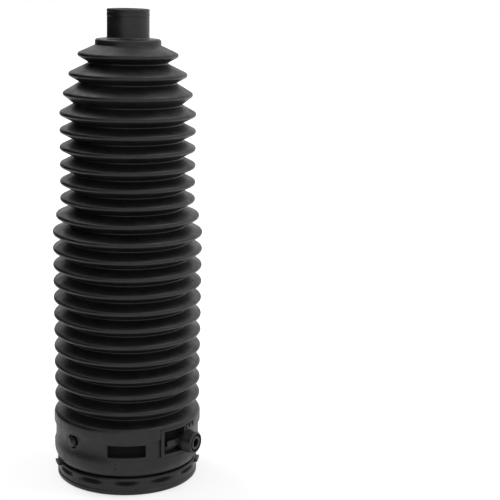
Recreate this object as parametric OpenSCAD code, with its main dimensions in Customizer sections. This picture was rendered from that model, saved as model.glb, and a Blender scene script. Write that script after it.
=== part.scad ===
// Bellows boot for a tie rod: a small plain neck, 21 folds and a large cuff, moulded in one piece.
// It stands on its large end. The axis is +Z, the origin is the centre of the base,
// and -Y is the side with the long recess. All sizes are in millimetres.

/* [Overall] */
// Height from the base to the top of the neck
overall_h = 230; // [226:1:236]
// Thickness of the folded wall
wall = 1.1; // [0.9:0.05:1.2]

/* [Neck] */
// Outside diameter of the neck
neck_d = 20.2; // [19:0.1:22]
// Bore of the neck, which grips the rod
neck_bore_d = 14.5; // [12:0.1:15.5]
// Outside diameter of the disc under the neck
disc_d = 31.4; // [30:0.1:33]
// Height of the top face of the disc above the base
disc_top_z = 216; // [215:0.5:217]

/* [Folds] */
// Number of folds
fold_count = 21; // [21:1:21]
// Height of the crest of the lowest fold above the base
last_fold_z = 41.4; // [41:0.1:42]
// Distance from crest to crest
fold_pitch = 8.2; // [8.1:0.05:8.25]
// Distance from crest to crest of the three small folds at the top
taper_pitch = 9.25; // [9:0.05:9.4]
// Outside diameters of the three small folds, from the top
taper_fold_d = [47.8, 56.4, 61.8];
// Outside diameter of folds 4 to 9
upper_fold_d = 65.2; // [64:0.1:67]
// Outside diameter of fold 10, the step between the two stretches
step_fold_d = 69.4; // [68:0.1:71]
// Outside diameter of fold 11, the widest
lower_fold_d = 72.7; // [72:0.1:74]
// How much narrower the lowest fold is than fold 11
fold_draft = 0.7; // [0:0.1:1]
// Depth of the grooves between the large folds
fold_depth = 6.1; // [5:0.1:6.5]
// Depth of the grooves between the small folds
taper_depth = 4.8; // [4:0.1:5]
// Outside radius of a crest
crest_r = 1.25; // [1.25:0.05:1.5]
// Outside radius of the bottom of a groove
root_r = 0.9; // [0.7:0.05:1.1]

/* [Cuff] */
// Outside diameter of the cuff
cuff_d = 72.8; // [72.4:0.1:74]
// Height of the top of the cuff's shoulder above the base
shoulder_z = 34.2; // [33.8:0.1:34.4]
// Radius of the shoulder
shoulder_r = 2.4; // [2:0.1:2.6]
// Bore of the large end, which grips the housing
cuff_bore_d = 61; // [60:0.1:61.5]
// Outside diameter at the waist, the shallow band that the recess and the port lie in
waist_d = 71.2; // [70.8:0.1:72]
// Outside diameter of the cuff at its lower edge
cuff_edge_d = 66.2; // [66:0.1:67]
// Height of the cuff's lower edge above the base
cuff_edge_z = 9.2; // [9.1:0.1:9.4]

/* [Clamp ring] */
// Outside diameter of the ring that the clamp closes on
ring_d = 69.8; // [69:0.1:70.4]
// Height of the ring
ring_h = 8.7; // [8.6:0.1:8.8]
// Diameter at the bottom of the groove between the ring and the cuff
gap_floor_d = 64.4; // [64:0.1:65]
// Number of shallow pockets round the ring
pocket_count = 12; // [12:1:12]
// Radius of the cutter that leaves a pocket
pocket_cut_r = 1.5; // [1.3:0.1:1.7]
// Depth of a pocket
pocket_depth = 0.8; // [0.6:0.1:1]
// Angle from the recess to each of the two tabs
tab_angle = 80; // [76:1:84]
// Distance from the axis to the end of a tab
tab_reach = 36.4; // [36:0.1:36.6]

/* [Recess] */
// Angle that the long recess spans
recess_angle = 30; // [28:1:32]
// Height of the lower edge of the recess above the base
recess_z = 19.4; // [19:0.1:20]
// Height of the recess itself
recess_h = 5.9; // [5.5:0.1:6.2]
// Depth of the recess and the window, from the cuff's widest radius
recess_depth = 4; // [3.5:0.1:4.2]

/* [Breather port] */
// Angle from the recess to the port
port_angle = 54.5; // [54:0.5:56]
// Height of the port's axis above the base
port_z = 22.6; // [22.2:0.1:23]
// Distance from the boot's axis to the face of the port
port_reach = 41.4; // [41:0.1:42]
// Outside diameter of the port
port_d = 10.6; // [10:0.1:11]
// Outside diameter of the spigot inside the port
spigot_d = 7; // [6.6:0.1:7.2]
// Breather hole
port_hole_d = 4; // [3.6:0.1:4.4]

/* [Blind boss] */
// Angle from the recess to the boss, on the other side of the port
boss_angle = 47; // [45:1:49]
// Height of the boss's axis above the base
boss_z = 24; // [23.6:0.1:24.4]
// Diameter of the boss
boss_d = 7; // [6.6:0.1:7.2]
// Distance from the boot's axis to the face of the boss
boss_reach = 37.8; // [37.4:0.1:38.2]

/* [Hidden] */
$fn = 96;
ARC_STEPS = 5;
// How far a raised form starts under the surface, how far a cutter runs out over it,
// and the small overlap between two forms that would only touch
ROOT = 1;
CLEAR = 1;
BITE = 0.3;
BLACK = [0.07, 0.07, 0.075];

neck_r = neck_d / 2;
neck_bore_r = neck_bore_d / 2;
band_proud = 0.15;
band_r = neck_r + band_proud;
band_z = overall_h - 3.4;
band_groove_h = 0.5;
band_groove_depth = 0.1;
band_groove_slope = 0.2;
rim_r = 0.7;
lead_in = 0.6;
bore_lead = 1;
disc_r = disc_d / 2;
disc_edge_r = 1.2;
disc_fillet_r = 1.2;
disc_h = 2.6;
disc_foot_z = disc_top_z - disc_h;
disc_foot_r = 0.5;
ceiling_t = 2.2;
ceiling_z = disc_top_z - ceiling_t;

cuff_r = cuff_d / 2;
cuff_bore_r = cuff_bore_d / 2;
cuff_bore_top_z = 32;
waist_r = waist_d / 2;
waist_top_z = 26.8;
waist_foot_z = 18.8;
waist_slope_h = 1.1;
bulge_foot_z = 15.2;
bulge_r = cuff_r - 0.1;
cuff_edge_r = cuff_edge_d / 2;
edge_round_r = 6.2;
edge_turn = 42;

ring_r = ring_d / 2;
ring_round_r = 0.9;
ring_bead_step = 0.4;
ring_waist_r = ring_r - ring_bead_step;
ring_bead_z = 2;
ring_bead_top_z = 6.6;
ring_foot_chamfer = 0.6;
gap_floor_r = gap_floor_d / 2;
pocket_z = 5.9;
pocket_cut_l = 18;
tab_span = 14.5;
tab_root_r = gap_floor_r + 0.5;
tab_top_z = ring_h - 0.3;
tab_h = 1.5;

pocket_floor_r = cuff_r - recess_depth;
window_start = 30;
window_span = 20;
window_z = 19.5;
window_h = 11.6;
slot_span = 3.4;
rib_z = 22.3;
rib_h = 3.2;
rib_end_bite = 1;
rib_top_r = cuff_r - 0.9;
shelf_top_r = cuff_r - 2.6;
frame_h = 1.3;
frame_proud = 0.35;
frame_left = 3.2;
frame_right = 1.2;

port_flare_d = 13.4;
port_flare_h = 4;
port_flare_reach = 38;
port_root_reach = cuff_bore_r + ROOT;
port_rim = 0.5;
port_trench_w = 0.8;
port_trench_depth = 2.2;
grip_angle = 57.5;
grip_pitch = 4.6;
grip_span = 2.6;
grip_z = 29.5;
grip_h = 2;
grip_proud = 0.6;

boss_moat_w = 1.2;
boss_moat_depth = 1;
boss_dimple_d = 3;
boss_dimple_depth = 0.5;
dot_angle = 8.5;
dot_d = 1;
dot_proud = 0.3;
dot_z = [16.4, 13.8];

// Points of an arc about (x, z), from angle a to angle b
function arc(x, z, r, a, b, n = ARC_STEPS) =
    [for (i = [0:n]) let (t = a + (b - a) * i / n) [x + r * cos(t), z + r * sin(t)]];

// The crest of fold i, counted from the top
function crest_z(i) =
    i < 3 ? last_fold_z + (fold_count - 4) * fold_pitch + (3 - i) * taper_pitch
          : last_fold_z + (fold_count - 1 - i) * fold_pitch;
function crest_tip(i) =
    i < 3 ? taper_fold_d[i] / 2 :
    i < 9 ? upper_fold_d / 2 :
    i < 10 ? step_fold_d / 2 :
    (lower_fold_d - fold_draft * (i - 10) / (fold_count - 11)) / 2;
function groove_depth(i) = i < 3 ? taper_depth : fold_depth;
// The small folds have a long upper side, so their groove lies nearer to the crest above
function groove_bias(i) = i < 2 ? 0.4 : 0.5;

// The wall runs over a chain of circles, [x, z, radius, side]:
// side 1 is a crest, which it passes outside, and side -1 a groove, which it passes inside
function crest(i) = [crest_tip(i) - crest_r, crest_z(i), crest_r, 1];
function groove(i, below_z, below_tip) = [
    min(crest_tip(i), below_tip) - groove_depth(i) + root_r,
    crest_z(i) + (below_z - crest_z(i)) * groove_bias(i),
    root_r,
    -1
];
shoulder = [cuff_r - shoulder_r, shoulder_z - shoulder_r, shoulder_r, 1];
function next_groove(i) =
    i + 1 < fold_count ? groove(i, crest_z(i + 1), crest_tip(i + 1))
                       : groove(i, shoulder_z - shoulder_r, cuff_r);
CHAIN = concat(
    [[disc_r + disc_foot_r, disc_foot_z, disc_foot_r, -1]],
    [for (i = [0:fold_count - 1]) each [crest(i), next_groove(i)]],
    [shoulder]
);
LAST = len(CHAIN) - 1;

// The direction from circle k's centre to where its wall leaves for circle k + 1
function leave(k) =
    let (p = CHAIN[k], q = CHAIN[k + 1])
    let (dx = q[0] - p[0], dz = q[1] - p[1])
    atan2(dz, dx) + p[3] * acos((p[2] + q[2]) / norm([dx, dz]));
function start_angle(k) = k == 0 ? 180 : leave(k - 1) + 180;
function end_angle(k) = k == LAST ? 0 : leave(k);
function turn(k) =
    let (raw = CHAIN[k][3] * (start_angle(k) - end_angle(k)))
    -CHAIN[k][3] * (raw - 360 * floor(raw / 360));
// The wall's points over circle k; depth 0 is the outside and depth wall is the inside
function wall_over(k, depth) =
    let (c = CHAIN[k])
    arc(c[0], c[1], c[2] - c[3] * depth, start_angle(k), start_angle(k) + turn(k));
function wall_points(from, to, depth) = [for (k = [from:to]) each wall_over(k, depth)];
function reversed(list) = [for (i = [len(list) - 1:-1:0]) list[i]];

NECK_OUTSIDE = concat(
    [[neck_bore_r + lead_in, overall_h]],
    arc(band_r - rim_r, overall_h - rim_r, rim_r, 90, 0),
    [
        [band_r, band_z],
        [neck_r - band_groove_depth, band_z - band_groove_slope],
        [neck_r - band_groove_depth, band_z - band_groove_h],
        [neck_r, band_z - band_groove_h - band_groove_slope]
    ],
    arc(neck_r + disc_fillet_r, disc_top_z + disc_fillet_r, disc_fillet_r, 180, 270),
    arc(disc_r - disc_edge_r, disc_top_z - disc_edge_r, disc_edge_r, 90, 0)
);
CUFF_OUTSIDE = concat(
    [
        [cuff_r, waist_top_z + waist_slope_h],
        [waist_r, waist_top_z],
        [waist_r, waist_foot_z],
        [bulge_r, waist_foot_z - waist_slope_h]
    ],
    arc(bulge_r - edge_round_r, bulge_foot_z, edge_round_r, 0, -edge_turn),
    [
        [cuff_edge_r, cuff_edge_z],
        [gap_floor_r, cuff_edge_z],
        [gap_floor_r, ring_h]
    ],
    arc(ring_r - ring_round_r, ring_h - ring_round_r, ring_round_r, 90, 0),
    [
        [ring_r, ring_bead_top_z],
        [ring_waist_r, ring_bead_top_z - ring_bead_step],
        [ring_waist_r, ring_bead_z + ring_bead_step],
        [ring_r, ring_bead_z],
        [ring_r, ring_foot_chamfer],
        [ring_r - ring_foot_chamfer, 0]
    ]
);
INSIDE = concat(
    [
        [cuff_bore_r + bore_lead, 0],
        [cuff_bore_r, bore_lead],
        [cuff_bore_r, cuff_bore_top_z]
    ],
    reversed(wall_points(0, LAST - 1, wall)),
    [
        [disc_r - wall - bore_lead, ceiling_z],
        [neck_bore_r + bore_lead, ceiling_z],
        [neck_bore_r, ceiling_z + bore_lead],
        [neck_bore_r, overall_h - lead_in]
    ]
);

// Stands what faces -Y at an angle round the axis and a height
module at(angle, z = 0) {
    rotate([0, 0, angle]) translate([0, 0, z]) children();
}

// A block of the wall between two radii, centred on -Y
module wall_block(inner_r, outer_r, span, z, h) {
    rotate([0, 0, -90 - span / 2])
        rotate_extrude(angle = span)
            translate([inner_r, z])
                square([outer_r - inner_r, h]);
}

// A round bar that points to -Y, between two distances from the axis
module radial_bar(d, from, to) {
    translate([0, -from, 0]) rotate([90, 0, 0]) cylinder(d = d, h = to - from);
}

// The plain revolved body: neck, disc, folds, cuff and ring in one closed section
module revolved_body() {
    rotate_extrude()
        polygon(concat(NECK_OUTSIDE, wall_points(0, LAST, 0), CUFF_OUTSIDE, INSIDE));
}

// Long recess with square ends on the front of the cuff
module front_recess() {
    wall_block(pocket_floor_r, cuff_r + CLEAR, recess_angle, recess_z, recess_h);
}

// Window beside the port: deep all over, before the rib and the shelf are put back
module window_pocket() {
    at(window_start + window_span / 2)
        wall_block(pocket_floor_r, cuff_r + CLEAR, window_span, window_z, window_h);
}

// Horizontal rib and shallow shelf inside the window, clear of its left end by a slot
module window_rib() {
    span = window_span - slot_span + rib_end_bite;
    at(window_start + slot_span + span / 2) {
        wall_block(pocket_floor_r - BITE, rib_top_r, span, rib_z, rib_h);
        wall_block(pocket_floor_r - BITE, shelf_top_r, span, window_z - BITE, rib_z - window_z + 2 * BITE);
    }
}

// Raised pad that the window is cut through, which leaves a frame round it
module window_pad() {
    span = frame_left + window_span + frame_right;
    at(window_start - frame_left + span / 2)
        wall_block(waist_r - ROOT, cuff_r + frame_proud, span, window_z - frame_h, window_h + 2 * frame_h);
}

// Breather port: a round boss with a flared foot, turned in one section and rooted in the cuff's wall
module port_body() {
    at(port_angle, port_z)
        rotate([90, 0, 0])
            rotate_extrude()
                polygon([
                    [0, port_root_reach],
                    [port_flare_d / 2, port_root_reach],
                    [port_flare_d / 2, port_flare_reach - port_flare_h],
                    [port_d / 2, port_flare_reach],
                    [port_d / 2, port_reach - port_rim],
                    [port_d / 2 - port_rim, port_reach],
                    [0, port_reach]
                ]);
}

// Breather hole, from the face of the port to the cuff's bore
module port_hole() {
    at(port_angle, port_z)
        radial_bar(port_hole_d, cuff_bore_r - CLEAR, port_reach + CLEAR);
}

// Trench round the spigot in the face of the port
module port_trench() {
    at(port_angle, port_z)
        difference() {
            radial_bar(spigot_d + 2 * port_trench_w, port_reach - port_trench_depth, port_reach + CLEAR);
            radial_bar(spigot_d, port_reach - port_trench_depth - CLEAR, port_reach + 2 * CLEAR);
        }
}

// Three short grip ribs on the shoulder above the port
module grip_ribs() {
    for (i = [-1:1])
        at(grip_angle + i * grip_pitch)
            wall_block(cuff_r - ROOT, cuff_r + grip_proud, grip_span, grip_z, grip_h);
}

// Blind boss with a moat round it and a dimple in its face
module boss() {
    at(-boss_angle, boss_z)
        difference() {
            radial_bar(boss_d, pocket_floor_r, boss_reach);
            radial_bar(boss_dimple_d, boss_reach - boss_dimple_depth, boss_reach + CLEAR);
        }
}

// Round cut that becomes the moat once the boss stands in it
module boss_moat() {
    at(-boss_angle, boss_z)
        radial_bar(boss_d + 2 * boss_moat_w, waist_r - boss_moat_depth, cuff_r + CLEAR);
}

// The cuff's radius under the waist, where the dots stand
function bulge_surface_r(z) =
    bulge_r - edge_round_r + sqrt(pow(edge_round_r, 2) - pow(max(bulge_foot_z - z, 0), 2));

// Two small raised dots under the recess
module dots() {
    for (z = dot_z)
        at(-dot_angle, z)
            radial_bar(dot_d, waist_r - ROOT, bulge_surface_r(z) + dot_proud);
}

// Shallow lens-shaped pockets round the clamp ring
module ring_pockets() {
    for (i = [0:pocket_count - 1])
        at(i * 360 / pocket_count, pocket_z)
            translate([0, -(ring_waist_r + pocket_cut_r - pocket_depth), 0])
                rotate([0, 90, 0])
                    cylinder(r = pocket_cut_r, h = pocket_cut_l, center = true);
}

// Tabs on both sides, level with the top of the ring
module tabs() {
    for (side = [-1, 1])
        at(side * tab_angle)
            wall_block(tab_root_r, tab_reach, tab_span, tab_top_z - tab_h, tab_h);
}

module bellows_boot() {
    color(BLACK)
        difference() {
            union() {
                difference() {
                    union() {
                        revolved_body();
                        window_pad();
                    }
                    front_recess();
                    window_pocket();
                    boss_moat();
                    ring_pockets();
                }
                window_rib();
                port_body();
                grip_ribs();
                boss();
                dots();
                tabs();
            }
            port_trench();
            port_hole();
        }
}

bellows_boot();
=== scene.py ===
"""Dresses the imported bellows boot: the rubber moulding with its folds and cuff, and a plain studio.

Every length is in metres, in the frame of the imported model. Angles are in degrees, and angles round
the boot are measured from the side with the long recess (-Y) towards the breather port (+X). Only a
property that holds an angle keeps it in radians.
"""

import math
from collections import namedtuple

import bmesh
import bpy
from bpy.props import FloatProperty, FloatVectorProperty, IntProperty, PointerProperty
from mathutils import Matrix, Vector

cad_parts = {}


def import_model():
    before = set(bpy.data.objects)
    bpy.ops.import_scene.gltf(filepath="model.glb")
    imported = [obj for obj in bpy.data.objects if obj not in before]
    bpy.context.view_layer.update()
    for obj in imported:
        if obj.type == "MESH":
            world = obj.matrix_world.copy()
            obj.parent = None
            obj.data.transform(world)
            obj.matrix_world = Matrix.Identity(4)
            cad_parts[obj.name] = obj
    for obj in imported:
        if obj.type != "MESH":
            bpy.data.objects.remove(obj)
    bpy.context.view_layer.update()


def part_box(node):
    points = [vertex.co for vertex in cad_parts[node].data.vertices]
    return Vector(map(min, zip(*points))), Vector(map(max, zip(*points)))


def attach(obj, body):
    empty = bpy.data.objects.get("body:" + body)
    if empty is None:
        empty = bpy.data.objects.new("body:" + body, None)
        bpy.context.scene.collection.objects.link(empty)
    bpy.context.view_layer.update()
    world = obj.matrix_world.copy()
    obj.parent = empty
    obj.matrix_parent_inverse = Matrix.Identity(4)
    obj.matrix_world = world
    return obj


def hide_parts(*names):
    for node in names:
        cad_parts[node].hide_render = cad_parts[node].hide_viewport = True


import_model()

bl_info = {
    "name": "Bellows Boot",
    "version": (1, 0, 0),
    "blender": (4, 5, 0),
    "location": "View3D > Sidebar > Bellows Boot",
    "description": "Models a moulded rubber bellows boot and a plain studio round it",
    "category": "Add Mesh",
}

MM = 0.001
NODE = "bellows_boot"
NODE_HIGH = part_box(NODE)[1]

# Neck, with two fine lines round it
RIM_ROUND = 0.7 * MM
LEAD_IN = 0.6 * MM
LINES_BELOW_TOP = (1.3 * MM, 3.4 * MM)
LINE_H = 0.5 * MM
LINE_DEPTH = 0.12 * MM
LINE_SLOPE = 0.15 * MM
LINE_MARGIN = 0.3 * MM
BAND_PROUD = 0.05 * MM

# Disc under the neck
DISC_ROUND = 1.2 * MM
DISC_DEPTH = 2.6 * MM
DISC_FOOT_ROUND = 0.5 * MM
CEILING_BELOW_DISC = 2.2 * MM
INNER_CHAMFER = 1 * MM

# Folds, counted from 0 at the top, and the share of the way down at which a groove has its root
FIRST_LARGE_FOLD = 3
STEP_FOLD = 9
WIDEST_FOLD = 10
HIGH_ROOT_COUNT = 2
HIGH_ROOT_SHARE = 0.4
ROOT_SHARE = 0.5

# Cuff and foot ring
BORE_TOP_Z = 32 * MM
WAIST_TOP_Z = 26.8 * MM
WAIST_FOOT_Z = 18.8 * MM
WAIST_SLOPE = 1.1 * MM
BULGE_INSET = 0.1 * MM
BULGE_FOOT_Z = 15.2 * MM
EDGE_ROUND = 9 * MM
EDGE_SWEEP = 39
RING_ROUND = 0.9 * MM
RING_WAIST = 0.4 * MM
RING_SLOPE = 0.4 * MM
UPPER_BEAD_FOOT_Z = 6.6 * MM
LOWER_BEAD_TOP_Z = 2 * MM
RING_CHAMFER = 0.6 * MM
POCKET_Z = 5.9 * MM
POCKET_LENGTH = 18 * MM

# The window beside the port, with its slot, rib and shelf
WINDOW_START = 30
WINDOW_SPAN = 20
WINDOW_Z = 19.5 * MM
WINDOW_H = 11.6 * MM
SLOT_SPAN = 3.4
RIB_OVERRUN = 1
RIB_Z = 22.3 * MM
RIB_H = 3.2 * MM
RIB_SINK = 0.9 * MM
SHELF_SINK = 2.6 * MM
PAD_MARGIN = 1.3 * MM
PAD_PROUD = 0.35 * MM
PAD_LEFT = 3.2
PAD_RIGHT = 1.2

# The three grip ribs above the port and the two tabs on the ring
GRIP_ANGLE = 57.5
GRIP_PITCH = 4.6
GRIP_SPAN = 2.6
GRIP_Z = 29.5 * MM
GRIP_H = 2 * MM
GRIP_PROUD = 0.6 * MM
TAB_SPAN = 11
TAB_H = 1.5 * MM
TAB_BELOW_RING_TOP = 0.3 * MM
TAB_ROOT_FROM_GAP = 0.5 * MM

# The domed boss in its moat, and the dots, each with its height and how far it stands proud
MOAT_WIDTH = 1 * MM
MOAT_DEPTH = 1 * MM
DOME_R_SHARE = 1.6
DOME_START = 52
BOSS_SEAM = 3.2
DOT_ANGLE = -8.5
DOT_D = 1 * MM
DOT_ROOT = 2 * MM
DOTS = ((16.4 * MM, 0.35 * MM), (13.8 * MM, 0.2 * MM))

# The port, with the trench in its face and the spigot
PORT_ROOT_FROM_BORE = 1 * MM
PORT_ROUND = 0.8 * MM
FLARE_LENGTH = 4 * MM
FLARE_EASE_H = 0.5 * MM
FLARE_EASE_WIDTH = 0.3 * MM
TRENCH_WIDTH = 0.8 * MM
TRENCH_DEPTH = 2.2 * MM
SPIGOT_ROUND = 0.3 * MM
COUNTERSINK = 0.3 * MM

# How far a solid reaches into the wall that it stands on, or past the face that it cuts
ROOT_SINK = 1 * MM
WINDOW_BITE = 0.3 * MM
BEYOND = 1 * MM
FAR_BEYOND = 2 * MM

# Edges
BEVEL_WIDTH = 0.3 * MM
BEVEL_SEGMENTS = 2
BEVEL_ABOVE = 50
MOUTH_CHAMFER = 0.25 * MM
SHARP_ANGLE = 38

# Fineness of the turned body
TURN_STEPS = 132
SEAM_TURN = 1.1
LONGEST_EDGE = 4 * MM
CREST_STEPS = 6
INNER_CREST_STEPS = 3
DISC_STEPS = 5
EDGE_STEPS = 8
ROUND_STEPS = 4

# Fineness of the small forms
BAR_STEP = 2
LEAST_BAR_STEPS = 2
DOME_STEPS = 6
SPIGOT_STEPS = 3
BOSS_SIDES = 48
DOT_SIDES = 16
PORT_SIDES = 64
HOLE_SIDES = 40
POCKET_SIDES = 32

# Where the cuff is cut off the body, and how close points are when they count as one
SPLIT_Z = 33.2 * MM
AT_SPLIT = 1e-6
SAME_PLACE = 1e-7

# Patterns on the rubber: scale, detail and roughness of the noise, and the part of it that counts
BLOOM_NOISE = (90, 5, 0.5)
BLOOM_RANGE = (0.45, 0.75)
GLOSS_NOISE = (220, 4, 0.5)
GLOSS_RANGE = (0.3, 0.7)
WAVE_NOISE = (140, 2, 0.5)
WAVE_STRENGTH = 0.5
WAVE_HEIGHT = 0.12 * MM
GRAIN_NOISE = (2600, 3, 0.6)
GRAIN_STRENGTH = 0.35
GRAIN_HEIGHT = 0.04 * MM

# Painted shade on the floors of the cuff and the ring: the bands in which it sets in or fades, as
# radii from those floors, as heights from the window's top, and as heights on the ring
PAINTED_SHADE_BEHIND_FLOOR = (-1 * MM, -0.7 * MM)
PAINTED_SHADE_OVER_FLOOR = (0.4 * MM, 1.3 * MM)
PAINTED_SHADE_OVER_WINDOW = (0.1 * MM, 0.9 * MM)
PAINTED_SHADE_OVER_RING_FLOOR = (0.2 * MM, 0.7 * MM)
PAINTED_SHADE_RING_FOOT_Z = (1 * MM, 2 * MM)
PAINTED_SHADE_RING_TOP_Z = (7.8 * MM, 8.2 * MM)
PAINTED_SHADE_ROUGHNESS = 1

# Camera and floor: the frame is square, and the floor's glow grows with the distance from the boot
FRAME_PX = 500
SENSOR_WIDTH = 36
CLIP_START = 0.01
CLIP_END = 100
FLOOR_REACH = 8
GLOW_LOW_AT = 0.06
GLOW_FULL_AT = 0.4

# The dark card on the left, and each lamp's name, place, width and level
FLAG_X = -0.4
FLAG_NEAR_Y = -0.6
FLAG_FAR_Y = 0.7
FLAG_H = 0.6
FLAG_COLOUR = (0.02, 0.02, 0.02, 1)
WHITE = (1, 1, 1, 1)
LAMP_TARGET = (0, 0, 0.13)
LAMPS = (
    ("overhead_left", (-0.4, 0.3, 0.95), 0.5, 2.8),
    ("overhead_right", (0.45, 0.02, 0.95), 0.4, 3.4),
)

# A circle that the folded wall runs over: side 1 is a crest, which the wall passes outside, and
# side -1 is a groove
Circle = namedtuple("Circle", ("reach", "height", "radius", "side"))


def mm_size(name, description, default, low, high):
    """A length property, given in millimetres and kept in metres."""
    return FloatProperty(
        name=name,
        description=description,
        default=default * MM,
        min=low * MM,
        max=high * MM,
        precision=5,
        unit="LENGTH",
    )


def degree_angle(name, description, default):
    """An angle property, given in degrees and kept in radians."""
    return FloatProperty(
        name=name,
        description=description,
        default=math.radians(default),
        subtype="ANGLE",
    )


def share(name, description, default):
    """A property between 0 and 1."""
    return FloatProperty(
        name=name,
        description=description,
        default=default,
        min=0,
        max=1,
        precision=3,
        subtype="FACTOR",
    )


def colour(name, description, default):
    """A colour property."""
    return FloatVectorProperty(
        name=name,
        description=description,
        default=default,
        min=0,
        max=1,
        size=3,
        subtype="COLOR",
    )


class BootSizes(bpy.types.PropertyGroup):
    """Driving sizes of the moulding.

    The roots of the folds, the angles to the tabs, the boss and the flare of the port are closer
    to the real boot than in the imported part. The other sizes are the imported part's own.
    """

    overall_h: FloatProperty(
        name="Height",
        description="Height from the base to the top of the neck",
        default=NODE_HIGH.z,
        precision=5,
        unit="LENGTH",
    )
    wall: mm_size("Wall", "Thickness of the folded wall", 1.1, 0.9, 1.2)
    neck_d: mm_size("Neck", "Outside diameter of the neck", 20.2, 19, 22)
    neck_bore_d: mm_size("Neck bore", "Bore of the neck", 14.5, 12, 15.5)
    disc_d: mm_size("Disc", "Outside diameter of the disc under the neck", 31.4, 30, 33)
    disc_top_z: mm_size("Disc height", "Height of the top face of the disc", 216, 215, 217)
    fold_count: IntProperty(name="Folds", description="Number of folds", default=21, min=21, max=21)
    last_fold_z: mm_size("Lowest crest", "Height of the crest of the lowest fold", 41.4, 41, 42)
    fold_pitch: mm_size("Pitch", "Distance from crest to crest", 8.2, 8.1, 8.25)
    taper_pitch: mm_size("Small pitch", "Distance from crest to crest at the top", 9.25, 9, 9.4)
    taper_fold_d: FloatVectorProperty(
        name="Small folds",
        description="Outside diameters of the three small folds, from the top",
        default=(47.8 * MM, 56.4 * MM, 61.8 * MM),
        size=3,
        precision=5,
        unit="LENGTH",
    )
    upper_fold_d: mm_size("Upper folds", "Outside diameter of folds 4 to 9", 65.2, 64, 67)
    step_fold_d: mm_size("Step fold", "Outside diameter of fold 10", 69.4, 68, 71)
    lower_fold_d: mm_size("Widest fold", "Outside diameter of fold 11", 72.7, 72, 74)
    fold_draft: mm_size("Draft", "How much narrower the lowest fold is than fold 11", 0.7, 0, 1)
    fold_depth: mm_size("Groove", "Depth of the grooves between the large folds", 6.1, 5, 6.5)
    taper_depth: mm_size("Small groove", "Depth of the grooves under the small folds", 4.8, 4, 5)
    crest_r: mm_size("Crest radius", "Outside radius of a crest", 1.25, 1.25, 1.5)
    root_r: mm_size("Root radius", "Outside radius of the bottom of a groove", 0.5, 0.4, 1.1)
    cuff_d: mm_size("Cuff", "Outside diameter of the cuff", 72.8, 72.4, 74)
    shoulder_z: mm_size("Shoulder", "Height of the top of the shoulder", 34.2, 33.8, 34.4)
    shoulder_r: mm_size("Shoulder radius", "Radius of the shoulder", 2.4, 2, 2.6)
    cuff_bore_d: mm_size("Cuff bore", "Bore of the large end", 61, 60, 61.5)
    waist_d: mm_size("Waist", "Outside diameter of the shallow band", 71.2, 70.8, 72)
    cuff_edge_d: mm_size("Lower edge", "Outside diameter of the lower edge", 66.2, 66, 67)
    cuff_edge_z: mm_size("Lower edge height", "Height of the lower edge", 9.2, 9.1, 9.4)
    ring_d: mm_size("Foot ring", "Outside diameter of the foot ring", 69.8, 69, 70.4)
    ring_h: mm_size("Ring height", "Height of the foot ring", 8.7, 8.6, 8.8)
    gap_floor_d: mm_size("Gap floor", "Diameter at the bottom of the gap", 64.4, 64, 65)
    pocket_count: IntProperty(name="Pockets", description="Pockets round the ring", default=12)
    pocket_cut_r: mm_size("Pocket radius", "Radius of a pocket's section", 1.5, 1.3, 1.7)
    pocket_depth: mm_size("Pocket depth", "Depth of a pocket", 0.8, 0.6, 1)
    left_tab_angle: degree_angle("Left tab", "Angle to the left tab", -74)
    right_tab_angle: degree_angle("Right tab", "Angle to the right tab", 79)
    tab_reach: mm_size("Tab reach", "Distance from the axis to the end of a tab", 36.4, 36, 36.6)
    recess_angle: degree_angle("Recess span", "Angle of the long recess", 30)
    recess_z: mm_size("Recess foot", "Height of the lower edge of the recess", 19.4, 19, 20)
    recess_h: mm_size("Recess height", "Height of the recess itself", 5.9, 5.5, 6.2)
    recess_depth: mm_size("Recess depth", "Depth of the recess and the window", 4, 3.5, 4.2)
    port_angle: degree_angle("Port angle", "Angle to the port", 54.5)
    port_z: mm_size("Port height", "Height of the port's axis", 22.6, 22.2, 23)
    port_reach: mm_size("Port reach", "Distance from the axis to the port's face", 41.4, 41, 42)
    port_d: mm_size("Port", "Outside diameter of the port", 10.6, 10, 11)
    port_flare_d: mm_size("Port flare", "Diameter where the port leaves the wall", 11.4, 11, 14)
    port_flare_reach: mm_size("Flare reach", "Distance to the end of the flare", 38, 37, 39)
    spigot_d: mm_size("Spigot", "Outside diameter of the spigot in the port", 7, 6.6, 7.2)
    port_hole_d: mm_size("Port hole", "Breather hole", 4, 3.6, 4.4)
    boss_angle: degree_angle("Boss angle", "Angle to the boss", -47)
    boss_z: mm_size("Boss height", "Height of the boss's axis", 24, 23.6, 24.4)
    boss_d: mm_size("Boss", "Diameter of the boss", 5.2, 5, 7.2)
    boss_reach: mm_size("Boss reach", "Distance from the axis to the boss's top", 37.2, 37, 38.2)


class RubberFinish(bpy.types.PropertyGroup):
    """Colours and gloss of the moulded rubber, and the colour of the shade painted on its floors."""

    deep: colour("Rubber", "Colour of the bare rubber", (0.010, 0.010, 0.0105))
    dusty: colour("Bloom", "Colour where the rubber has a faint bloom", (0.020, 0.0198, 0.0185))
    # The near-black colour on the next line is painted shade, put on the floors of the recess, the
    # window, the gap and the ring's pockets.
    painted_shade: colour("Hollow", "Colour on the dark floors of the cuff", (0.003, 0.003, 0.003))
    shine: share("Shine", "Strength of the reflections", 0.38)
    gloss_low: share("Smooth", "Roughness of the smoothest spots", 0.36)
    gloss_high: share("Dull", "Roughness of the dullest spots", 0.52)


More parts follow.
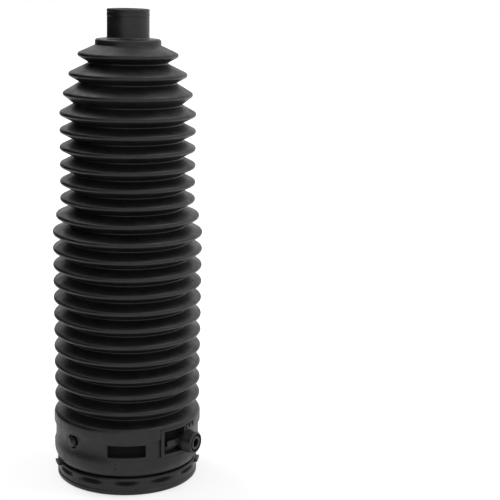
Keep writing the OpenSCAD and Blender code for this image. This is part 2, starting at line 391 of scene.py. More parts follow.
class StudioSettings(bpy.types.PropertyGroup):
    """Camera and light of the studio."""

    distance: FloatProperty(
        name="Distance", description="From the boot's axis", default=0.6, unit="LENGTH"
    )
    height: FloatProperty(
        name="Height", description="Of the camera above the floor", default=0.2477, unit="LENGTH"
    )
    azimuth: degree_angle("Azimuth", "Of the camera from the recess", 0.8)
    pan: degree_angle("Pan", "Turn of the view to the right of the boot", 5.722)
    tilt: degree_angle("Tilt", "Tilt of the view below the horizon", 12.516)
    roll: degree_angle("Roll", "Roll of the camera", 1.336)
    focal_px: FloatProperty(
        name="Focal length", description="In pixels of the frame", default=1249, subtype="PIXEL"
    )
    world_level: share("World", "Light from all round", 0.3)
    floor_glow: share("Floor glow", "Glow of the floor at the boot, so that it shows pale", 0.62)
    floor_colour: colour("Floor", "Colour of the floor", (0.9, 0.9, 0.9))


def arc(centre, radius, start, end, steps):
    """Points of an arc in the section's (radius, height) plane."""
    made = []
    for i in range(steps + 1):
        turn = math.radians(start + (end - start) * i / steps)
        made.append((centre[0] + radius * math.cos(turn), centre[1] + radius * math.sin(turn)))
    return made


def crest_height(sizes, i):
    """Height of the crest of fold i."""
    if i < FIRST_LARGE_FOLD:
        first_large_z = crest_height(sizes, FIRST_LARGE_FOLD)
        return first_large_z + (FIRST_LARGE_FOLD - i) * sizes.taper_pitch
    return sizes.last_fold_z + (sizes.fold_count - 1 - i) * sizes.fold_pitch


def crest_tip(sizes, i):
    """Radius that fold i reaches."""
    if i < FIRST_LARGE_FOLD:
        return sizes.taper_fold_d[i] / 2
    if i < STEP_FOLD:
        return sizes.upper_fold_d / 2
    if i == STEP_FOLD:
        return sizes.step_fold_d / 2
    narrower = sizes.fold_draft * (i - WIDEST_FOLD) / (sizes.fold_count - 1 - WIDEST_FOLD)
    return (sizes.lower_fold_d - narrower) / 2


def fold_circles(sizes):
    """The circles of the wall from the foot of the disc to the shoulder, from the top down."""
    shoulder_r = sizes.shoulder_r
    shoulder = Circle(sizes.cuff_d / 2 - shoulder_r, sizes.shoulder_z - shoulder_r, shoulder_r, 1)
    foot_z = sizes.disc_top_z - DISC_DEPTH
    chain = [Circle(sizes.disc_d / 2 + DISC_FOOT_ROUND, foot_z, DISC_FOOT_ROUND, -1)]
    for i in range(sizes.fold_count):
        tip, height = crest_tip(sizes, i), crest_height(sizes, i)
        if i + 1 < sizes.fold_count:
            below_tip, below_z = crest_tip(sizes, i + 1), crest_height(sizes, i + 1)
        else:
            below_tip, below_z = sizes.cuff_d / 2, shoulder.height
        depth = sizes.taper_depth if i < FIRST_LARGE_FOLD else sizes.fold_depth
        way_down = HIGH_ROOT_SHARE if i < HIGH_ROOT_COUNT else ROOT_SHARE
        root_z = height + (below_z - height) * way_down
        root_centre = min(tip, below_tip) - depth + sizes.root_r
        chain.append(Circle(tip - sizes.crest_r, height, sizes.crest_r, 1))
        chain.append(Circle(root_centre, root_z, sizes.root_r, -1))
    chain.append(shoulder)
    return chain


def fold_wall(chain, depth, last, steps):
    """The wall over the chain's circles down to circle last, at a depth below the outside."""
    leaving = []
    for upper, lower in zip(chain, chain[1:]):
        out, rise = lower.reach - upper.reach, lower.height - upper.height
        swing = math.acos((upper.radius + lower.radius) / math.hypot(out, rise))
        leaving.append(math.degrees(math.atan2(rise, out) + upper.side * swing))
    made = []
    for i, circle in enumerate(chain[: last + 1]):
        start = 180 if i == 0 else leaving[i - 1] + 180
        end = leaving[i] if i < len(leaving) else 0
        sweep = circle.side * (start - end) % 360
        centre = (circle.reach, circle.height)
        radius = circle.radius - circle.side * depth
        made += arc(centre, radius, start, start - circle.side * sweep, steps)
    return made


def neck_outside(sizes):
    """The neck with its fine lines and the disc under it, from the top down."""
    neck_r, disc_r, disc_top_z = sizes.neck_d / 2, sizes.disc_d / 2, sizes.disc_top_z
    band_r = neck_r + BAND_PROUD
    made = [(sizes.neck_bore_d / 2 + LEAD_IN, sizes.overall_h)]
    made += arc((band_r - RIM_ROUND, sizes.overall_h - RIM_ROUND), RIM_ROUND, 90, 0, ROUND_STEPS)
    for below_top in LINES_BELOW_TOP:
        line_z = sizes.overall_h - below_top
        foot_z = line_z - LINE_H
        made += [
            (band_r, line_z + LINE_MARGIN),
            (band_r, line_z),
            (band_r - LINE_DEPTH, line_z - LINE_SLOPE),
            (band_r - LINE_DEPTH, foot_z + LINE_SLOPE),
            (neck_r, foot_z),
            (neck_r, foot_z - LINE_MARGIN),
        ]
    made += arc((neck_r + DISC_ROUND, disc_top_z + DISC_ROUND), DISC_ROUND, 180, 270, DISC_STEPS)
    made += arc((disc_r - DISC_ROUND, disc_top_z - DISC_ROUND), DISC_ROUND, 90, 0, DISC_STEPS)
    return made


def cuff_outside(sizes):
    """The cuff, the gap below it and the foot ring, from the shoulder down."""
    cuff_r, waist_r, ring_r = sizes.cuff_d / 2, sizes.waist_d / 2, sizes.ring_d / 2
    bulge_r, gap_r = cuff_r - BULGE_INSET, sizes.gap_floor_d / 2
    made = [
        (cuff_r, WAIST_TOP_Z + WAIST_SLOPE),
        (waist_r, WAIST_TOP_Z),
        (waist_r, WAIST_FOOT_Z),
        (bulge_r, WAIST_FOOT_Z - WAIST_SLOPE),
    ]
    made += arc((bulge_r - EDGE_ROUND, BULGE_FOOT_Z), EDGE_ROUND, 0, -EDGE_SWEEP, EDGE_STEPS)
    made += [
        (sizes.cuff_edge_d / 2, sizes.cuff_edge_z),
        (gap_r, sizes.cuff_edge_z),
        (gap_r, sizes.ring_h),
    ]
    made += arc((ring_r - RING_ROUND, sizes.ring_h - RING_ROUND), RING_ROUND, 90, 0, ROUND_STEPS)
    made += [
        (ring_r, UPPER_BEAD_FOOT_Z),
        (ring_r - RING_WAIST, UPPER_BEAD_FOOT_Z - RING_SLOPE),
        (ring_r - RING_WAIST, LOWER_BEAD_TOP_Z + RING_SLOPE),
        (ring_r, LOWER_BEAD_TOP_Z),
        (ring_r, RING_CHAMFER),
        (ring_r - RING_CHAMFER, 0),
    ]
    return made


def inside(sizes, chain):
    """The bore, the inner side of the folds and the bore of the neck, from the base up."""
    bore_r, neck_bore_r = sizes.cuff_bore_d / 2, sizes.neck_bore_d / 2
    ceiling_z = sizes.disc_top_z - CEILING_BELOW_DISC
    above_shoulder = len(chain) - 2
    made = [(bore_r + INNER_CHAMFER, 0), (bore_r, INNER_CHAMFER), (bore_r, BORE_TOP_Z)]
    made += reversed(fold_wall(chain, sizes.wall, above_shoulder, INNER_CREST_STEPS))
    made += [
        (sizes.disc_d / 2 - sizes.wall - INNER_CHAMFER, ceiling_z),
        (neck_bore_r + INNER_CHAMFER, ceiling_z),
        (neck_bore_r, ceiling_z + INNER_CHAMFER),
        (neck_bore_r, sizes.overall_h - LEAD_IN),
    ]
    return made


def plain_section(sizes):
    """The closed section of the turned body, as (radius, height) points."""
    chain = fold_circles(sizes)
    folds = fold_wall(chain, 0, len(chain) - 1, CREST_STEPS)
    return neck_outside(sizes) + folds + cuff_outside(sizes) + inside(sizes, chain)


def outline(bm, points):
    """A closed ring of edges in the plane of +X and +Z."""
    verts = [bm.verts.new((x, 0, z)) for x, z in points]
    return [bm.edges.new(pair) for pair in zip(verts, verts[1:] + verts[:1])]


def turn_to(angle):
    """Turns what lies along +X to an angle measured from -Y towards +X."""
    return Matrix.Rotation(math.radians(angle - 90), 4, "Z")


def mend(bm):
    """Merges the points that lie on each other and turns the faces outwards."""
    bmesh.ops.remove_doubles(bm, verts=bm.verts, dist=SAME_PLACE)
    bmesh.ops.recalc_face_normals(bm, faces=bm.faces)


def object_from(name, bm):
    """Makes an object at the origin from a bmesh, with its faces pointing outwards."""
    mend(bm)
    mesh = bpy.data.meshes.new(name)
    bm.to_mesh(mesh)
    bm.free()
    made = bpy.data.objects.new(name, mesh)
    bpy.context.scene.collection.objects.link(made)
    return made


def soften(bm):
    """Rounds every sharp edge of small solids."""
    mend(bm)
    least = math.radians(BEVEL_ABOVE)
    sharp = [edge for edge in bm.edges if edge.is_manifold and edge.calc_face_angle() > least]
    bmesh.ops.bevel(
        bm,
        geom=sharp,
        offset=BEVEL_WIDTH,
        segments=BEVEL_SEGMENTS,
        profile=0.5,
        affect="EDGES",
        material=-1,
    )


def turned_body(sizes):
    """The plain turned body: neck, disc, folds, cuff and ring."""
    bm = bmesh.new()
    edges = outline(bm, plain_section(sizes))
    for edge in [edge for edge in edges if edge.calc_length() > LONGEST_EDGE]:
        cuts = int(edge.calc_length() / LONGEST_EDGE)
        bmesh.ops.subdivide_edges(bm, edges=[edge], cuts=cuts)
    seam = Matrix.Rotation(math.radians(SEAM_TURN), 3, "Z")
    bmesh.ops.rotate(bm, verts=bm.verts, cent=(0, 0, 0), matrix=seam)
    bmesh.ops.spin(
        bm,
        geom=bm.verts[:] + bm.edges[:],
        cent=(0, 0, 0),
        axis=(0, 0, 1),
        angle=math.tau,
        steps=TURN_STEPS,
        use_merge=True,
    )
    return object_from("rubber_boot", bm)


def bent_bar(bm, reaches, middle, span, z, height):
    """A bar bent round the axis, centred on an angle, with its section split at each radius."""
    low = [bm.verts.new((reach, 0, z)) for reach in reaches]
    high = [bm.verts.new((reach, 0, z + height)) for reach in reaches]
    faces = [bm.faces.new(corners) for corners in zip(low, low[1:], high[1:], high)]
    edges = list(dict.fromkeys(edge for face in faces for edge in face.edges))
    bmesh.ops.transform(bm, verts=low + high, matrix=turn_to(middle - span / 2))
    bmesh.ops.spin(
        bm,
        geom=low + high + edges + faces,
        cent=(0, 0, 0),
        axis=(0, 0, 1),
        angle=math.radians(span),
        steps=max(LEAST_BAR_STEPS, round(span / BAR_STEP)),
    )


def cutter_bar(bm, floor_r, mouth_r, middle, span, z, height):
    """A bent bar whose mouth flares, so that the pocket it cuts has a chamfered edge."""
    before = set(bm.verts)
    bent_bar(bm, (floor_r, mouth_r - MOUTH_CHAMFER, mouth_r + BEYOND), middle, span, z, height)
    grow = BEYOND + MOUTH_CHAMFER
    widen = 2 * grow / (mouth_r * math.radians(span))
    for vert in bm.verts:
        if vert not in before and vert.co.xy.length > mouth_r:
            vert.co.z += math.copysign(grow, vert.co.z - z - height / 2)
            angle = math.atan2(vert.co.x, -vert.co.y) - math.radians(middle)
            vert.co = Matrix.Rotation(angle * widen, 3, "Z") @ vert.co


def turned(bm, profile, angle, z, sides, seam=0.0):
    """A solid turned about a radial axis, from (radius, distance from the boot's axis) points.

    The seam is the angle about that axis at which the turn starts.
    """
    before = set(bm.verts)
    verts = [bm.verts.new((reach, radius, 0)) for radius, reach in profile]
    edges = [bm.edges.new(pair) for pair in zip(verts, verts[1:])]
    start = Matrix.Rotation(math.radians(seam), 3, "X")
    bmesh.ops.rotate(bm, verts=verts, cent=(0, 0, 0), matrix=start)
    bmesh.ops.spin(
        bm,
        geom=verts + edges,
        cent=(0, 0, 0),
        axis=(1, 0, 0),
        angle=math.tau,
        steps=sides,
        use_merge=True,
    )
    made = [vert for vert in bm.verts if vert not in before]
    bmesh.ops.transform(bm, verts=made, matrix=Matrix.Translation((0, 0, z)) @ turn_to(angle))


def cut_at_split(bm, keep_lower):
    """Keeps what lies below or above the height at which the cuff is cut off."""
    bmesh.ops.bisect_plane(
        bm,
        geom=bm.verts[:] + bm.edges[:] + bm.faces[:],
        dist=SAME_PLACE,
        plane_co=(0, 0, SPLIT_Z),
        plane_no=(0, 0, 1),
        clear_outer=keep_lower,
        clear_inner=not keep_lower,
    )


def at_split(vert):
    """Whether a point lies at the height at which the cuff is cut off."""
    return abs(vert.co.z - SPLIT_Z) < AT_SPLIT


def take_cuff(body):
    """Cuts the cuff off the turned body and closes it, so that only it goes through combine."""
    bm = bmesh.new()
    bm.from_mesh(body.data)
    cut_at_split(bm, keep_lower=True)
    rims = [edge for edge in bm.edges if edge.is_boundary]
    bmesh.ops.bridge_loops(bm, edges=rims)
    cuff = object_from("cuff", bm)
    bm = bmesh.new()
    bm.from_mesh(body.data)
    cut_at_split(bm, keep_lower=False)
    bm.to_mesh(body.data)
    bm.free()
    return cuff


def put_back(body, cuff):
    """Joins the finished cuff to the folds again, in one closed skin."""
    bm = bmesh.new()
    bm.from_mesh(cuff.data)
    lid = [face for face in bm.faces if all(at_split(vert) for vert in face.verts)]
    bmesh.ops.delete(bm, geom=lid, context="FACES")
    bm.from_mesh(body.data)
    seam = [vert for vert in bm.verts if at_split(vert)]
    bmesh.ops.remove_doubles(bm, verts=seam, dist=AT_SPLIT)
    bm.to_mesh(body.data)
    bm.free()
    bpy.data.objects.remove(cuff)


def combine(body, tool, operation):
    """Adds a solid to the body or cuts it away, and removes the tool."""
    modifier = body.modifiers.new(operation.lower(), "BOOLEAN")
    modifier.operation = operation
    modifier.solver = "EXACT"
    modifier.use_self = operation == "UNION"
    modifier.object = tool
    bpy.context.view_layer.update()
    graph = bpy.context.evaluated_depsgraph_get()
    finished = bpy.data.meshes.new_from_object(body.evaluated_get(graph), depsgraph=graph)
    body.modifiers.clear()
    plain = body.data
    body.data = finished
    bpy.data.meshes.remove(plain)
    bpy.data.objects.remove(tool)


def window_pad(sizes):
    """The raised pad that the window is cut through."""
    bm = bmesh.new()
    reaches = (sizes.waist_d / 2 - ROOT_SINK, sizes.cuff_d / 2 + PAD_PROUD)
    span = PAD_LEFT + WINDOW_SPAN + PAD_RIGHT
    middle = WINDOW_START - PAD_LEFT + span / 2
    bent_bar(bm, reaches, middle, span, WINDOW_Z - PAD_MARGIN, WINDOW_H + 2 * PAD_MARGIN)
    soften(bm)
    return object_from("window_pad", bm)


def pocket_floor_r(sizes):
    """Radius of the floors of the long recess and the window."""
    return sizes.cuff_d / 2 - sizes.recess_depth


def boss_moat(bm, sizes):
    """Cutter for the moat round the boss."""
    moat_r, floor_r = sizes.boss_d / 2 + MOAT_WIDTH, sizes.waist_d / 2 - MOAT_DEPTH
    beyond = sizes.cuff_d / 2 + FAR_BEYOND
    profile = [(0, floor_r), (moat_r, floor_r), (moat_r, beyond), (0, beyond)]
    turned(bm, profile, math.degrees(sizes.boss_angle), sizes.boss_z, BOSS_SIDES)


def ring_pockets(bm, sizes):
    """Cutters for the shallow lens-shaped pockets round the ring."""
    away = sizes.ring_d / 2 - RING_WAIST + sizes.pocket_cut_r - sizes.pocket_depth
    lying = Matrix.Rotation(math.pi / 2, 4, "X")
    for i in range(sizes.pocket_count):
        place = turn_to(i * 360 / sizes.pocket_count) @ Matrix.Translation((away, 0, POCKET_Z))
        bmesh.ops.create_cone(
            bm,
            cap_ends=True,
            segments=POCKET_SIDES,
            radius1=sizes.pocket_cut_r,
            radius2=sizes.pocket_cut_r,
            depth=POCKET_LENGTH,
            matrix=place @ lying,
        )


def cuff_pockets(sizes):
    """Cutters for the long recess, the window, the boss's moat and the ring's pockets."""
    bm = bmesh.new()
    floor_r, waist_r = pocket_floor_r(sizes), sizes.waist_d / 2
    span = math.degrees(sizes.recess_angle)
    cutter_bar(bm, floor_r, waist_r, 0, span, sizes.recess_z, sizes.recess_h)
    pad_r = sizes.cuff_d / 2 + PAD_PROUD
    middle = WINDOW_START + WINDOW_SPAN / 2
    cutter_bar(bm, floor_r, pad_r, middle, WINDOW_SPAN, WINDOW_Z, WINDOW_H)
    boss_moat(bm, sizes)
    ring_pockets(bm, sizes)
    return object_from("cuff_pockets", bm)


def rib_and_shelf(bm, sizes):
    """The rib across the window and the shelf below it, to the right of the slot."""
    cuff_r, root_r = sizes.cuff_d / 2, pocket_floor_r(sizes) - WINDOW_BITE
    span = WINDOW_SPAN - SLOT_SPAN + RIB_OVERRUN
    middle = WINDOW_START + SLOT_SPAN + span / 2
    bent_bar(bm, (root_r, cuff_r - RIB_SINK), middle, span, RIB_Z, RIB_H)
    foot, height = WINDOW_Z - WINDOW_BITE, RIB_Z - WINDOW_Z + 2 * WINDOW_BITE
    bent_bar(bm, (root_r, cuff_r - SHELF_SINK), middle, span, foot, height)


def grip_ribs(bm, sizes):
    """The three short ribs above the port."""
    reaches = (sizes.cuff_d / 2 - ROOT_SINK, sizes.cuff_d / 2 + GRIP_PROUD)
    for i in (-1, 0, 1):
        bent_bar(bm, reaches, GRIP_ANGLE + i * GRIP_PITCH, GRIP_SPAN, GRIP_Z, GRIP_H)


def tabs(bm, sizes):
    """The two tabs that stand out from the ring."""
    reaches = (sizes.gap_floor_d / 2 + TAB_ROOT_FROM_GAP, sizes.tab_reach)
    foot = sizes.ring_h - TAB_BELOW_RING_TOP - TAB_H
    for angle in (sizes.left_tab_angle, sizes.right_tab_angle):
        bent_bar(bm, reaches, math.degrees(angle), TAB_SPAN, foot, TAB_H)


def boss(bm, sizes):
    """The blind boss, which has a domed face. Its seam keeps its points off those of the moat."""
    boss_r, root = sizes.boss_d / 2, pocket_floor_r(sizes)
    dome_r = DOME_R_SHARE * boss_r
    dome = arc((0, sizes.boss_reach - dome_r), dome_r, DOME_START, 90, DOME_STEPS)
    profile = [(0, root), (boss_r, root), *dome]
    turned(bm, profile, math.degrees(sizes.boss_angle), sizes.boss_z, BOSS_SIDES, BOSS_SEAM)


def dots(bm, sizes):
    """The small round dots below the recess."""
    dot_r = DOT_D / 2
    for z, proud in DOTS:
        face = sizes.cuff_d / 2 + proud
        root = face - DOT_ROOT
        dome = arc((0, face - dot_r), dot_r, 0, 90, ROUND_STEPS)
        turned(bm, [(0, root), (dot_r, root), *dome], DOT_ANGLE, z, DOT_SIDES)


def raised_forms(sizes):
    """The window's rib and shelf, the grip ribs, the tabs, the boss and the dots."""
    bm = bmesh.new()
    rib_and_shelf(bm, sizes)
    grip_ribs(bm, sizes)
    tabs(bm, sizes)
    soften(bm)
    boss(bm, sizes)
    dots(bm, sizes)
    return object_from("raised_forms", bm)


def breather_port(sizes):
    """The flared port with its rounded rim, the trench in its face and the spigot."""
    bm = bmesh.new()
    port_r, flare_r, spigot_r = sizes.port_d / 2, sizes.port_flare_d / 2, sizes.spigot_d / 2
    root = sizes.cuff_bore_d / 2 + PORT_ROOT_FROM_BORE
    flare_end, face = sizes.port_flare_reach, sizes.port_reach
    trench_r, trench_floor = spigot_r + TRENCH_WIDTH, face - TRENCH_DEPTH
    rim_centre = (port_r - PORT_ROUND, face - PORT_ROUND)
    spigot_centre = (spigot_r - SPIGOT_ROUND, face - SPIGOT_ROUND)
    profile = [
        (0, root),
        (flare_r, root),
        (flare_r, flare_end - FLARE_LENGTH),
        (port_r + FLARE_EASE_WIDTH, flare_end - FLARE_EASE_H),
        (port_r, flare_end + FLARE_EASE_H),
        *arc(rim_centre, PORT_ROUND, 0, 90, ROUND_STEPS),
        (trench_r, face),
        (trench_r, trench_floor),
        (spigot_r, trench_floor),
        *arc(spigot_centre, SPIGOT_ROUND, 0, 90, SPIGOT_STEPS),
        (0, face),
    ]
    turned(bm, profile, math.degrees(sizes.port_angle), sizes.port_z, PORT_SIDES)
    return object_from("breather_port", bm)


def port_hole(sizes):
    """Cutter for the breather hole, with a countersunk mouth."""
    bm = bmesh.new()
    hole_r, face = sizes.port_hole_d / 2, sizes.port_reach
    inner_end = sizes.cuff_bore_d / 2 - FAR_BEYOND
    profile = [
        (0, inner_end),
        (hole_r, inner_end),
        (hole_r, face - COUNTERSINK),
        (hole_r + COUNTERSINK + BEYOND, face + BEYOND),
        (0, face + BEYOND),
    ]
    turned(bm, profile, math.degrees(sizes.port_angle), sizes.port_z, HOLE_SIDES)
    return object_from("port_hole", bm)


def shade_smooth(body):
    """Smooth shading with sharp edges only where the moulding has them."""
    for face in body.data.polygons:
        face.use_smooth = True
    body.data.set_sharp_from_angle(angle=math.radians(SHARP_ANGLE))


class Nodes:
    """The nodes of one material or world, starting from an empty tree."""

    def __init__(self, owner):
        owner.use_nodes = True
        self.tree = owner.node_tree
        self.tree.nodes.clear()

    def add(self, kind, inputs=(), **settings):
        """A new node with its settings, and a value or another node's output for each input."""
        made = self.tree.nodes.new(kind)
        for name, value in settings.items():
            setattr(made, name, value)
        for key, source in dict(inputs).items():
            if isinstance(source, bpy.types.NodeSocket):
                self.tree.links.new(source, made.inputs[key])
            else:
                made.inputs[key].default_value = source
        return made

    def place(self):
        """Where a point lies, in the object's own coordinates."""
        return self.add("ShaderNodeTexCoord").outputs["Object"]

    def pair(self, operation, first, second):
        """One number made of two, such as their product or the larger of them."""
        inputs = {0: first, 1: second}
        return self.add("ShaderNodeMath", inputs, operation=operation).outputs["Value"]

    def length(self, vector):
        """The length of a vector."""
        return self.add("ShaderNodeVectorMath", {0: vector}, operation="LENGTH").outputs["Value"]

    def spread(self, source, band, low=0.0, high=1.0):
        """A number that runs from low to high while the source crosses a band."""
        inputs = {
            "Value": source,
            "From Min": band[0],
            "From Max": band[1],
            "To Min": low,
            "To Max": high,
        }
        return self.add("ShaderNodeMapRange", inputs).outputs["Result"]

    def noise(self, place, pattern):
        """Cloudy noise with a scale, a detail and a roughness."""
        scale, detail, rough = pattern
        inputs = {"Vector": place, "Scale": scale, "Detail": detail, "Roughness": rough}
        return self.add("ShaderNodeTexNoise", inputs).outputs["Fac"]

    def mix(self, kind, factor, first, second):
        """A colour or number that goes from the first to the second as the factor rises."""
        inputs = {"Factor": factor, "A": first, "B": second}
        return self.add("ShaderNodeMix", inputs, data_type=kind).outputs["Result"]

    def bump(self, strength, height, pattern, under=None):
        """A surface raised by a pattern, over another one where that is given."""
        inputs = {"Strength": strength, "Distance": height, "Height": pattern}
        if under is not None:
            inputs["Normal"] = under
        return self.add("ShaderNodeBump", inputs).outputs["Normal"]


def band_from(edge, margins):
    """The band between two distances from an edge."""
    return edge + margins[0], edge + margins[1]


def painted_floor_shade(nodes, place, sizes):
    """Mask of the painted shade: one on the floors of the recess, the window, the gap and the ring's
    pockets, else nought.
    """
    flat = nodes.add("ShaderNodeVectorMath", {0: place, 1: (1, 1, 0)}, operation="MULTIPLY")
    reach = nodes.length(flat.outputs["Vector"])
    height = nodes.add("ShaderNodeSeparateXYZ", {"Vector": place}).outputs["Z"]
    floor_r = pocket_floor_r(sizes)
    ring_floor_r = sizes.ring_d / 2 - RING_WAIST - sizes.pocket_depth
    in_cuff = nodes.pair(
        "MULTIPLY",
        nodes.spread(reach, band_from(floor_r, PAINTED_SHADE_OVER_FLOOR), 1, 0),
        nodes.spread(height, band_from(WINDOW_Z + WINDOW_H, PAINTED_SHADE_OVER_WINDOW), 1, 0),
    )
    on_ring = nodes.pair(
        "MULTIPLY",
        nodes.spread(height, PAINTED_SHADE_RING_TOP_Z, 1, 0),
        nodes.spread(height, PAINTED_SHADE_RING_FOOT_Z),
    )
    ring_reach = nodes.spread(reach, band_from(ring_floor_r, PAINTED_SHADE_OVER_RING_FLOOR), 1, 0)
    in_ring = nodes.pair("MULTIPLY", ring_reach, on_ring)
    outside_bore = nodes.spread(reach, band_from(floor_r, PAINTED_SHADE_BEHIND_FLOOR))
    return nodes.pair("MULTIPLY", nodes.pair("MAXIMUM", in_cuff, in_ring), outside_bore)


def rubber(finish, sizes):
    """Satin black rubber: uneven gloss, a faint bloom, the fine grain of the mould, and painted shade
    on the floors of the recess, the window, the gap and the ring's pockets.
    """
    material = bpy.data.materials.new("black_rubber")
    nodes = Nodes(material)
    place = nodes.place()
    dark = painted_floor_shade(nodes, place, sizes)
    dust = nodes.spread(nodes.noise(place, BLOOM_NOISE), BLOOM_RANGE)
    bloom = nodes.mix("RGBA", dust, (*finish.deep, 1), (*finish.dusty, 1))
    clouds = nodes.noise(place, GLOSS_NOISE)
    gloss = nodes.spread(clouds, GLOSS_RANGE, finish.gloss_low, finish.gloss_high)
    grain = nodes.bump(GRAIN_STRENGTH, GRAIN_HEIGHT, nodes.noise(place, GRAIN_NOISE))
    waves = nodes.bump(WAVE_STRENGTH, WAVE_HEIGHT, nodes.noise(place, WAVE_NOISE), grain)
    inputs = {
        # Painted shade: on the floors of the recess, the window, the gap and the ring's pockets, the
        # colour turns near black and the roughness turns full.
        "Base Color": nodes.mix("RGBA", dark, bloom, (*finish.painted_shade, 1)),
        "Roughness": nodes.mix("FLOAT", dark, gloss, PAINTED_SHADE_ROUGHNESS),
        "Specular IOR Level": finish.shine,
        "Normal": waves,
    }
    surface = nodes.add("ShaderNodeBsdfPrincipled", inputs)
    nodes.add("ShaderNodeOutputMaterial", {"Surface": surface.outputs["BSDF"]})
    return material


class BOOT_OT_moulding(bpy.types.Operator):
    """Model the boot in one piece: neck, folds, cuff, port, boss and foot ring"""

    bl_idname = "bellows_boot.moulding"
    bl_label = "Rubber Moulding"

    def execute(self, context):
        sizes = context.scene.boot_sizes
        body = turned_body(sizes)
        cuff = take_cuff(body)
        combine(cuff, window_pad(sizes), "UNION")
        combine(cuff, cuff_pockets(sizes), "DIFFERENCE")
        combine(cuff, raised_forms(sizes), "UNION")
        combine(cuff, breather_port(sizes), "UNION")
        combine(cuff, port_hole(sizes), "DIFFERENCE")
        put_back(body, cuff)
        shade_smooth(body)
        body.data.materials.clear()
        body.data.materials.append(rubber(context.scene.rubber_finish, sizes))
        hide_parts(NODE)
        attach(body, "root")
        return {"FINISHED"}


def camera(studio):
    """The camera, placed round the boot from its distance, height, azimuth, pan, tilt and roll."""
    data = bpy.data.cameras.new("camera")
    data.sensor_width = SENSOR_WIDTH
    data.lens = studio.focal_px / FRAME_PX * SENSOR_WIDTH
    data.clip_start = CLIP_START
    data.clip_end = CLIP_END
    made = bpy.data.objects.new("camera", data)
    bpy.context.scene.collection.objects.link(made)
    upright = Matrix.Rotation(math.pi / 2, 4, "X")
    look = Matrix.Rotation(-studio.pan, 4, "Z") @ Matrix.Rotation(-studio.tilt, 4, "X") @ upright
    rolled = look @ Matrix.Rotation(studio.roll, 4, "Z")
    stand = Matrix.Translation((0, -studio.distance, studio.height))
    made.matrix_world = Matrix.Rotation(studio.azimuth, 4, "Z") @ stand @ rolled
    bpy.context.scene.camera = made


def straight_rays(nodes):
    """One for the rays that show the background: to the camera, by reflection or through glass."""
    path = nodes.add("ShaderNodeLightPath").outputs
    seen = nodes.pair("MAXIMUM", path["Is Camera Ray"], path["Is Glossy Ray"])
    return nodes.pair("MAXIMUM", seen, path["Is Transmission Ray"])


def floor(studio):
    """A pale floor that shows white to the camera and keeps the boot's shadow."""
    bm = bmesh.new()
    bmesh.ops.create_grid(bm, x_segments=1, y_segments=1, size=FLOOR_REACH)
    made = object_from("floor", bm)
    material = bpy.data.materials.new("floor")
    nodes = Nodes(material)
    matt = nodes.add("ShaderNodeBsdfDiffuse", {"Color": (*studio.floor_colour, 1)}).outputs["BSDF"]
    away = nodes.length(nodes.place())
    lift = nodes.spread(away, (GLOW_LOW_AT, GLOW_FULL_AT), studio.floor_glow, 1)
    glow = nodes.add("ShaderNodeEmission", {"Strength": lift}).outputs["Emission"]
    lit = nodes.add("ShaderNodeAddShader", {0: matt, 1: glow}).outputs["Shader"]
    chosen = nodes.add("ShaderNodeMixShader", {"Fac": straight_rays(nodes), 1: matt, 2: lit})
    nodes.add("ShaderNodeOutputMaterial", {"Surface": chosen.outputs["Shader"]})
    made.data.materials.append(material)


def left_flag():
    """A dark card that the camera doesn't see, so that the boot has something dark to reflect."""
    low = [(FLAG_X, FLAG_NEAR_Y, 0), (FLAG_X, FLAG_FAR_Y, 0)]
    high = [(FLAG_X, FLAG_FAR_Y, FLAG_H), (FLAG_X, FLAG_NEAR_Y, FLAG_H)]
    bm = bmesh.new()
    bm.faces.new([bm.verts.new(corner) for corner in low + high])
    made = object_from("left_flag", bm)
    material = bpy.data.materials.new("left_flag")
    nodes = Nodes(material)
    matt = nodes.add("ShaderNodeBsdfDiffuse", {"Color": FLAG_COLOUR}).outputs["BSDF"]
    nodes.add("ShaderNodeOutputMaterial", {"Surface": matt})
    made.data.materials.append(material)
    made.visible_camera = False
    made.visible_diffuse = False
    made.visible_shadow = False


def world(studio):
    """An even pale world that is white behind the boot."""
    made = bpy.data.worlds.new("studio")
    bpy.context.scene.world = made
    nodes = Nodes(made)
    level, full = [
        nodes.add("ShaderNodeBackground", {"Color": WHITE, "Strength": strength})
        for strength in (studio.world_level, 1)
    ]
    shaders = {1: level.outputs["Background"], 2: full.outputs["Background"]}
    chosen = nodes.add("ShaderNodeMixShader", {"Fac": straight_rays(nodes), **shaders})
    nodes.add("ShaderNodeOutputWorld", {"Surface": chosen.outputs["Shader"]})


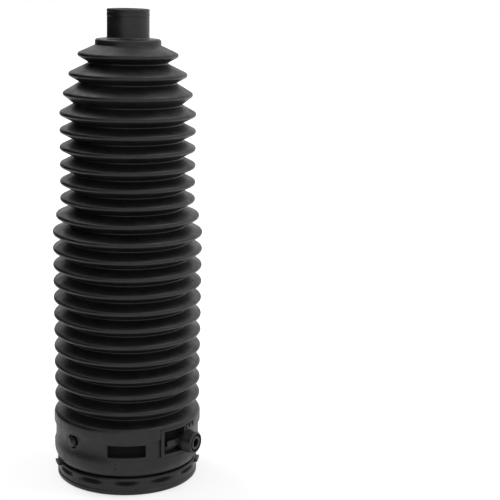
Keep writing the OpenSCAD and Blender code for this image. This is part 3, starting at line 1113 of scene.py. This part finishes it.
def soft_light(name, place, size, level):
    """A square area light turned to the boot, as bright as a white surface times its level."""
    data = bpy.data.lights.new(name, "AREA")
    data.size = size
    data.energy = math.pi * size * size * level
    made = bpy.data.objects.new(name, data)
    bpy.context.scene.collection.objects.link(made)
    made.location = place
    made.rotation_mode = "QUATERNION"
    made.rotation_quaternion = (Vector(LAMP_TARGET) - Vector(place)).to_track_quat("-Z", "Y")


class BOOT_OT_studio(bpy.types.Operator):
    """Set up the floor, the world, the lights and the camera"""

    bl_idname = "bellows_boot.studio"
    bl_label = "Studio"

    def execute(self, context):
        studio = context.scene.studio_settings
        camera(studio)
        floor(studio)
        world(studio)
        left_flag()
        for lamp in LAMPS:
            soft_light(*lamp)
        context.scene.view_settings.view_transform = "Standard"
        return {"FINISHED"}


class BOOT_PT_panel(bpy.types.Panel):
    """Lists the pieces and the studio"""

    bl_label = "Bellows Boot"
    bl_idname = "BOOT_PT_panel"
    bl_space_type = "VIEW_3D"
    bl_region_type = "UI"
    bl_category = "Bellows Boot"

    def draw(self, context):
        for operator in (BOOT_OT_moulding, BOOT_OT_studio):
            self.layout.operator(operator.bl_idname)
        for group in (
            context.scene.boot_sizes,
            context.scene.rubber_finish,
            context.scene.studio_settings,
        ):
            box = self.layout.box()
            for name in group.bl_rna.properties.keys():
                if name not in {"rna_type", "name"}:
                    box.prop(group, name)


CLASSES = (
    BootSizes,
    RubberFinish,
    StudioSettings,
    BOOT_OT_moulding,
    BOOT_OT_studio,
    BOOT_PT_panel,
)


def register():
    for cls in CLASSES:
        bpy.utils.register_class(cls)
    bpy.types.Scene.boot_sizes = PointerProperty(type=BootSizes)
    bpy.types.Scene.rubber_finish = PointerProperty(type=RubberFinish)
    bpy.types.Scene.studio_settings = PointerProperty(type=StudioSettings)


def unregister():
    del bpy.types.Scene.studio_settings
    del bpy.types.Scene.rubber_finish
    del bpy.types.Scene.boot_sizes
    for cls in reversed(CLASSES):
        bpy.utils.unregister_class(cls)


def main():
    register()
    bpy.ops.bellows_boot.moulding()
    bpy.ops.bellows_boot.studio()


if __name__ == "__main__":
    main()
